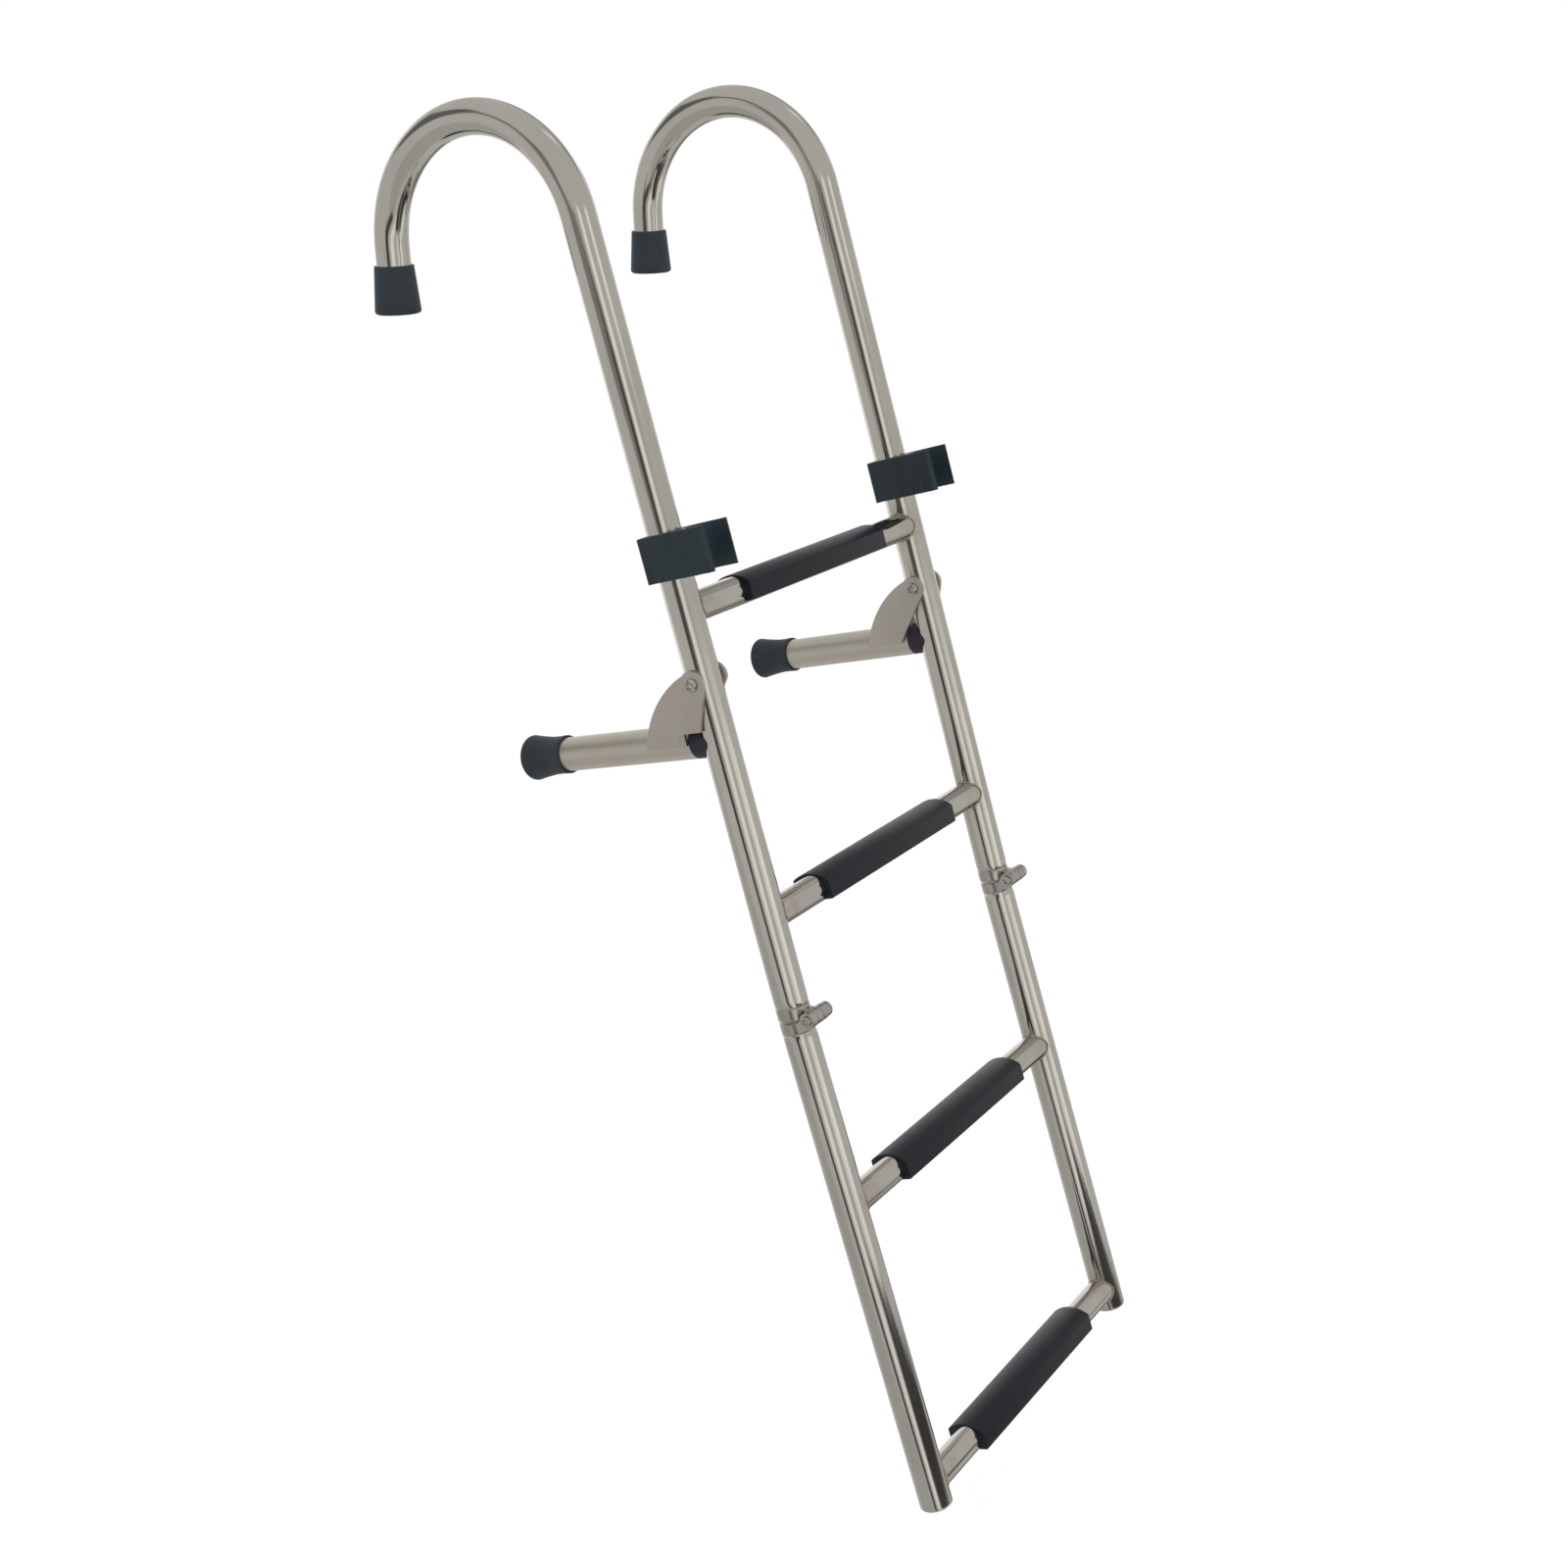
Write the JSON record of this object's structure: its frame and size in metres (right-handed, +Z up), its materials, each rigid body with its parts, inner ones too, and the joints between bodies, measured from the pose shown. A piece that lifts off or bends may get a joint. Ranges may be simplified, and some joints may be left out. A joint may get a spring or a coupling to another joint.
{
  "type": "folding boat ladder",
  "caption": "Folding hook-over boat ladder of stainless tube with padded steps, a mid-height hinge, swing-out hull standoffs and clips that hold the folded lower half.",
  "frame": {"origin": "gunwale seat: midway between the two hooks, at the inner crown of their bend", "axes": "+Z up, +Y towards the boat, +X across the ladder; the rails lean 15 degrees, as the ladder hangs in use"},
  "size_m": [0.3533, 0.4661, 1.0262],
  "materials": {
    "polished_stainless": "polished stainless tube",
    "cast_stainless": "tumbled stainless casting",
    "satin_plate": "satin stainless sheet",
    "fastener_stainless": "bright stainless fastener",
    "black_rubber": "moulded rubber, blue-black",
    "black_plastic": "moulded plastic, blue-black",
    "tread_plastic": "moulded tread, blue-black, fine grain"
  },
  "bodies": {
    "upper_frame": {"upper_rail_left": "polished_stainless", "hook_tip_left": "black_rubber", "rail_clip_left": "black_plastic", "hinge_upper_left": "cast_stainless", "hinge_pin_left": "cast_stainless", "pivot_bolt_left": "fastener_stainless", "pivot_nut_left": "fastener_stainless", "upper_rail_right": "polished_stainless", "hook_tip_right": "black_rubber", "rail_clip_right": "black_plastic", "hinge_upper_right": "cast_stainless", "hinge_pin_right": "cast_stainless", "pivot_bolt_right": "fastener_stainless", "pivot_nut_right": "fastener_stainless", "step_1_tube": "polished_stainless", "step_1_tread": "tread_plastic", "step_2_tube": "polished_stainless", "step_2_tread": "tread_plastic"},
    "lower_frame": {"hinge_lower_left": "cast_stainless", "lower_rail_left": "polished_stainless", "rail_end_cap_left": "cast_stainless", "hinge_lower_right": "cast_stainless", "lower_rail_right": "polished_stainless", "rail_end_cap_right": "cast_stainless", "step_3_tube": "polished_stainless", "step_3_tread": "tread_plastic", "step_4_tube": "polished_stainless", "step_4_tread": "tread_plastic"},
    "standoff_left": {"standoff_tube_left": "polished_stainless", "standoff_outer_plate_left": "satin_plate", "standoff_inner_plate_left": "satin_plate", "standoff_saddle_left": "black_plastic", "standoff_foot_left": "black_rubber"},
    "standoff_right": {"standoff_tube_right": "polished_stainless", "standoff_outer_plate_right": "satin_plate", "standoff_inner_plate_right": "satin_plate", "standoff_saddle_right": "black_plastic", "standoff_foot_right": "black_rubber"}
  },
  "joints": [
    {"name": "lower_frame_fold", "type": "hinge", "parent": "upper_frame", "child": "lower_frame", "pos_m": [0, -0.25328, -0.612], "axis": [-1, 0, 0], "range_deg": [0, 178.7]},
    {"name": "standoff_fold_left", "type": "hinge", "parent": "upper_frame", "child": "standoff_left", "pos_m": [-0.1545, -0.17073, -0.36961], "axis": [1, 0, 0], "range_deg": [0, 88]},
    {"name": "standoff_fold_right", "type": "hinge", "parent": "upper_frame", "child": "standoff_right", "pos_m": [0.1545, -0.17073, -0.36961], "axis": [1, 0, 0], "range_deg": [0, 88]}
  ]
}
